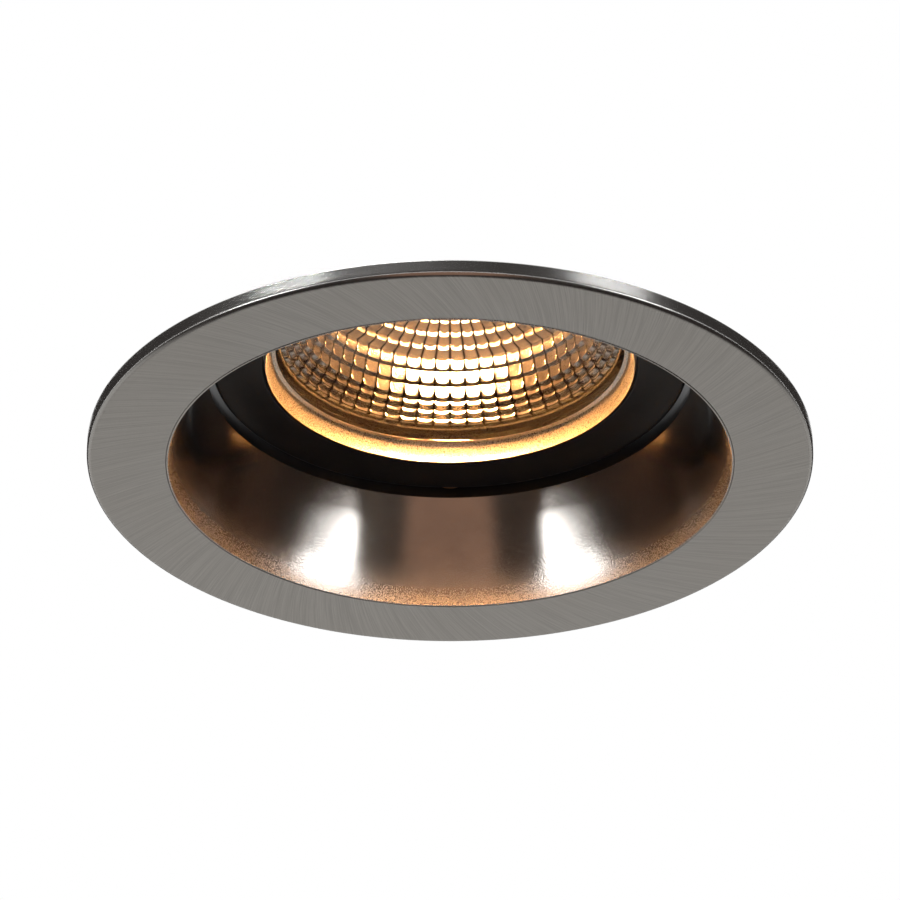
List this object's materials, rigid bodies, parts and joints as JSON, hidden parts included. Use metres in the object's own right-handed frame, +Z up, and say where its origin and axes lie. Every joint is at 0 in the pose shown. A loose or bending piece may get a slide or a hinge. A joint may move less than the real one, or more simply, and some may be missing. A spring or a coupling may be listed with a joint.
{
  "type": "recessed ceiling spotlight",
  "caption": "Round recessed ceiling spotlight with a brushed trim ring, deep satin cone, tilting black lamp ring, faceted LED reflector, finned heat sink and sprung ceiling clips.",
  "frame": {"origin": "centre of the ceiling's lower surface, at the back of the trim ring's flange", "axes": "+Z up into the ceiling along the fitting's axis, X through the two clips, Y along the tilt axis"},
  "size_m": [0.1236, 0.092, 0.0671],
  "materials": {
    "brushed_nickel": "satin",
    "satin_nickel": "satin",
    "black_coat": "satin",
    "zinc_steel": "satin",
    "spring_steel": "polished",
    "black_rubber": "matte",
    "grey_silicone": "matte",
    "fibre_washer": "matte",
    "clear_glass": "gloss",
    "bright_reflector": "polished",
    "white_plastic": "matte",
    "led_phosphor": "gloss",
    "board_white": "matte",
    "grey_anodised": "satin",
    "lead_insulation": "matte",
    "brass": "satin",
    "black_plastic": "matte"
  },
  "bodies": {
    "housing": {"trim_ring": "brushed_nickel", "ceiling_gasket": "black_rubber", "reflector_cone": "satin_nickel", "carrier_ring": "black_coat", "carrier_screws": "zinc_steel", "pivot_screws": "zinc_steel", "clip_bracket_left": "zinc_steel", "clip_bracket_right": "zinc_steel", "bracket_rivets": "zinc_steel", "clip_pin_left": "spring_steel", "clip_pin_right": "spring_steel"},
    "lamp": {"gimbal_ring": "black_coat", "friction_washers": "fibre_washer", "lamp_bezel": "satin_nickel", "front_glass": "clear_glass", "glass_seal": "black_rubber", "lamp_reflector": "bright_reflector", "led_emitter": "led_phosphor", "led_board": "board_white", "thermal_pad": "grey_silicone", "led_holder": "white_plastic", "holder_screws": "zinc_steel", "heat_sink": "grey_anodised", "led_leads": "lead_insulation", "terminal_block": "white_plastic", "terminal_screws": "brass", "rear_cap": "black_plastic", "cable_gland": "black_plastic", "gland_locknut": "black_plastic", "retaining_clip": "spring_steel"},
    "clip_left": {"clip_arm_left": "zinc_steel", "clip_pad_left": "grey_silicone", "clip_spring_left": "spring_steel"},
    "clip_right": {"clip_arm_right": "zinc_steel", "clip_pad_right": "grey_silicone", "clip_spring_right": "spring_steel"}
  },
  "joints": [
    {"name": "lamp_tilt", "type": "hinge", "parent": "housing", "child": "lamp", "pos_m": [0, 0, 0.0162], "axis": [0, 1, 0], "range_deg": [-20, 20]},
    {"name": "clip_left_fold", "type": "hinge", "parent": "housing", "child": "clip_left", "pos_m": [-0.0365, 0, 0.02031], "axis": [0, 1, 0], "range_deg": [0, 127], "stiffness_Nm_per_rad": 0.02, "springref_deg": -57.3, "deforming": ["clip_spring_left"]},
    {"name": "clip_right_fold", "type": "hinge", "parent": "housing", "child": "clip_right", "pos_m": [0.0365, 0, 0.02031], "axis": [0, -1, 0], "range_deg": [0, 127], "stiffness_Nm_per_rad": 0.02, "springref_deg": -57.3, "deforming": ["clip_spring_right"]}
  ]
}
